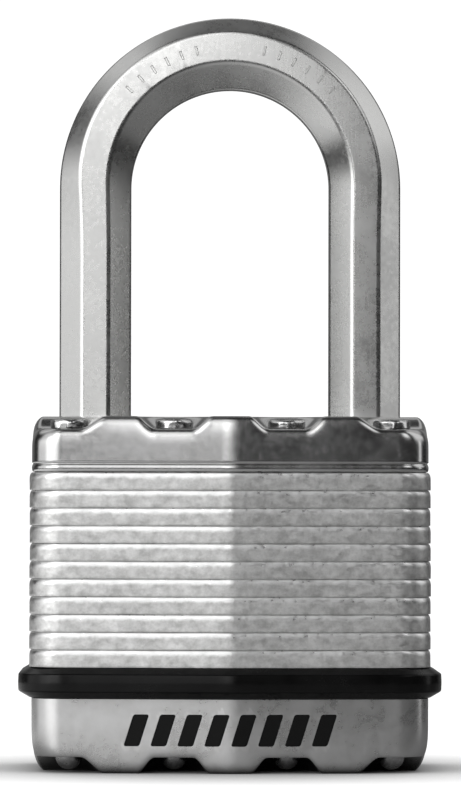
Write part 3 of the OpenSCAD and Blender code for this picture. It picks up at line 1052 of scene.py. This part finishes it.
def build_stage():
    """A round pale floor, lit from within like a light table, so that its edge can't be told from
    the white backdrop. Its glow is dimmed by ambient occlusion where something stands close over it, a painted
    contact shadow."""
    radius = 170
    steps = 96
    rim = [(radius * math.cos(t), radius * math.sin(t), 0) for t in np.linspace(0, 2 * math.pi, steps + 1)[:-1]]
    floor = make_object("floor", [(0, 0, 0)] + rim, [(0, i + 1, (i + 1) % steps + 1) for i in range(steps)])
    floor.modifiers.clear()
    s = Shader("floor")
    haze = s.noise(s.mapped((3,) * 3))
    color = s.mix(haze, grey(0.34), grey(0.36))
    # painted contact shadow: ambient occlusion dims the floor's glow beside the lock
    contact_shadow_ao = s.add("ShaderNodeAmbientOcclusion", samples=16, only_local=False)
    contact_shadow_ao.inputs["Distance"].default_value = 0.03
    split = s.add("ShaderNodeSeparateXYZ")
    s.link(s.position, split.inputs["Vector"])
    # the glow seen by rays other than the camera's is strong on the left and faint on the right; the camera sees it
    # full everywhere
    lit = s.spread(split.outputs["X"], -0.10, 0.035, 0.85, 0.04)
    brightness = s.math("MAXIMUM", lit, s.add("ShaderNodeLightPath").outputs["Is Camera Ray"])
    glow = s.math("MULTIPLY", s.math("POWER", contact_shadow_ao.outputs["AO"], 2.5), brightness)
    s.link(glow, s.bsdf.inputs["Emission Strength"])
    s.bsdf.inputs["Emission Color"].default_value = (1, 1, 1, 1)
    floor.data.materials.append(s.finish(color, s.spread(haze, 0, 1, 0.75, 0.85), metallic=0.0))


# Each soft box: middle azimuth and height, half its width and height, soft edge (all in degrees), strength.
# Azimuth 0 is the camera's side, and +90 is the object's right.
SOFT_BOXES = {
    "key": (-33, 16, 13, 16, 6, 3.4),
    "key_top": (-40, 44, 13, 14, 6, 0.9),
    "front": (-4, 12, 5, 11, 4, 3.2),
    "front_top": (-6, 32, 10, 12, 6, 1.4),
    "left": (-84, 4, 20, 8, 6, 1.2),
    "left_mid": (-54, 8, 11, 12, 6, 2.4),
    "left_high": (-72, 24, 22, 14, 8, 0.9),
    "left_top": (-90, 48, 40, 14, 10, 0.5),
    "right": (92, 3, 5, 8, 5, 1.35),
    "right_high": (96, 34, 22, 22, 8, 1.0),
    "right_mid": (40, 28, 12, 12, 6, 1.6),
    "overhead": (0, 90, 180, 18, 10, 0.15),
    "backdrop": (180, 10, 45, 14, 10, 0.2),
    "back_high": (180, 44, 60, 12, 6, 0.6),
}
AMBIENT = 0.02


def build_world():
    """A pale studio: soft boxes all round, and a plain white backdrop where the camera looks."""
    world = bpy.data.worlds.new("studio")
    bpy.context.scene.world = world
    world.use_nodes = True
    tree = world.node_tree
    direction = tree.nodes.new("ShaderNodeTexCoord").outputs["Generated"]

    def calculate(operation, a, b=0.0):
        node = tree.nodes.new("ShaderNodeMath")
        node.operation = operation
        for socket, value in zip(node.inputs, (a, b)):
            if isinstance(value, (int, float)):
                socket.default_value = value
            else:
                tree.links.new(value, socket)
        return node.outputs["Value"]

    def fade(value, half, soft):
        """1 within half of zero and 0 beyond, across a soft edge; angles in degrees."""
        node = tree.nodes.new("ShaderNodeMapRange")
        node.interpolation_type = "SMOOTHSTEP"
        limits = (math.radians(half - soft), math.radians(half + soft), 1.0, 0.0)
        for key, number in zip(("From Min", "From Max", "To Min", "To Max"), limits):
            node.inputs[key].default_value = number
        tree.links.new(calculate("ABSOLUTE", value), node.inputs["Value"])
        return node.outputs["Result"]

    total = None
    for azimuth, height, half_w, half_h, soft, strength in SOFT_BOXES.values():
        turn = tree.nodes.new("ShaderNodeVectorRotate")
        turn.rotation_type = "Z_AXIS"
        turn.inputs["Angle"].default_value = -math.radians(azimuth)
        tree.links.new(direction, turn.inputs["Vector"])
        split = tree.nodes.new("ShaderNodeSeparateXYZ")
        tree.links.new(turn.outputs["Vector"], split.inputs["Vector"])
        across = calculate("ARCTAN2", split.outputs["X"], calculate("MULTIPLY", split.outputs["Y"], -1.0))
        up = calculate("SUBTRACT", calculate("ARCSINE", split.outputs["Z"]), math.radians(height))
        box = calculate("MULTIPLY", fade(across, half_w, soft), fade(up, half_h, soft))
        box = calculate("MULTIPLY", box, strength)
        total = calculate("ADD", box, AMBIENT if total is None else total)

    studio = tree.nodes["Background"]
    tree.links.new(total, studio.inputs["Strength"])
    studio.inputs["Color"].default_value = (1, 1, 1, 1)
    backdrop = tree.nodes.new("ShaderNodeBackground")
    backdrop.inputs["Strength"].default_value = 1.1
    backdrop.inputs["Color"].default_value = (1, 1, 1, 1)
    seen = tree.nodes.new("ShaderNodeLightPath")
    mix = tree.nodes.new("ShaderNodeMixShader")
    tree.links.new(seen.outputs["Is Camera Ray"], mix.inputs["Fac"])
    tree.links.new(studio.outputs["Background"], mix.inputs[1])
    tree.links.new(backdrop.outputs["Background"], mix.inputs[2])
    tree.links.new(mix.outputs["Shader"], tree.nodes["World Output"].inputs["Surface"])


CAMERA_DISTANCE = 620.0
CAMERA_X, CAMERA_Z = -7.0, 32.2
CAMERA_PITCH, CAMERA_ROLL, CAMERA_YAW = 0.831, -0.108, 0.657
CAMERA_LENS = 249.06


def build_camera():
    data = bpy.data.cameras.new("camera")
    data.sensor_width = 36
    data.lens = CAMERA_LENS
    data.clip_start, data.clip_end = 0.01, 100
    camera = bpy.data.objects.new("camera", data)
    camera.location = (CAMERA_X * MM, -CAMERA_DISTANCE * MM, CAMERA_Z * MM)
    camera.rotation_euler = Euler((
        math.radians(90 + CAMERA_PITCH), math.radians(CAMERA_ROLL), math.radians(-CAMERA_YAW),
    ))
    bpy.context.scene.collection.objects.link(camera)
    bpy.context.scene.camera = camera


materials = build_materials()
build_pieces(materials)
dress_cad_nodes(materials)
build_stage()
build_world()
build_camera()
bpy.context.scene.view_settings.view_transform = "Standard"
